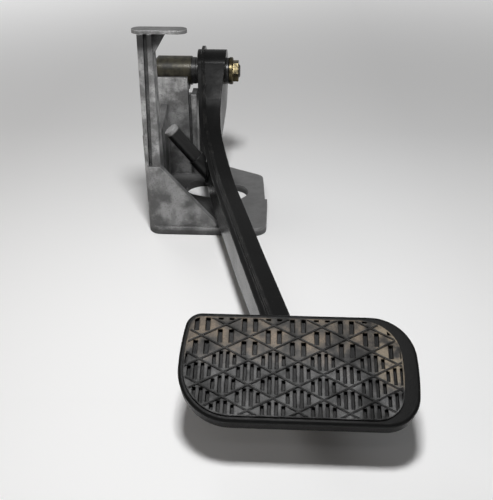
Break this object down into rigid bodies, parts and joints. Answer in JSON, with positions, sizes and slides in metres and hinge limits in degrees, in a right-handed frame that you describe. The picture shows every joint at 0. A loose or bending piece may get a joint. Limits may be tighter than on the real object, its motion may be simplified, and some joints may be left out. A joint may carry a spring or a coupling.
{
  "type": "brake_pedal",
  "caption": "Hanging car brake pedal: cast bulkhead bracket, pivot pin, curved hollow arm with a push-rod stud, and a wide rubber pad with a diamond tread.",
  "frame": {"origin": "midway between the two front fixing bolts, on the flange's bulkhead face", "axes": "+X along the pivot to the right, +Y from the pad towards the pivot end, +Z out of the bulkhead face towards the driver"},
  "size_m": [0.1905, 0.3873, 0.167],
  "materials": {
    "cast_aluminium": "rough as-cast, mottled grey",
    "yellow_zinc": "turned steel, yellow passivated zinc, darkened",
    "black_plastic": "moulded bearing plastic",
    "black_paint": "satin to gloss black dip paint on pressed steel",
    "black_rubber": "moulded rubber, worn and dusty"
  },
  "bodies": {
    "bracket": {"bracket_casting": "cast_aluminium", "pivot_pin": "yellow_zinc", "spacer_ring": "black_plastic", "thrust_washer": "yellow_zinc", "pivot_nut": "yellow_zinc"},
    "pedal": {"hub_bush_left": "black_plastic", "hub_bush_right": "black_plastic", "hub_tube": "black_paint", "arm_left_shell": "black_paint", "arm_right_shell": "black_paint", "push_rod_stud": "black_paint", "pad_plate": "black_paint", "pad_cover": "black_rubber"}
  },
  "joints": [
    {"name": "pedal_pivot", "type": "hinge", "parent": "bracket", "child": "pedal", "pos_m": [0.003, 0.097, 0.104], "axis": [-1, 0, 0], "range_deg": [0, 24]}
  ]
}
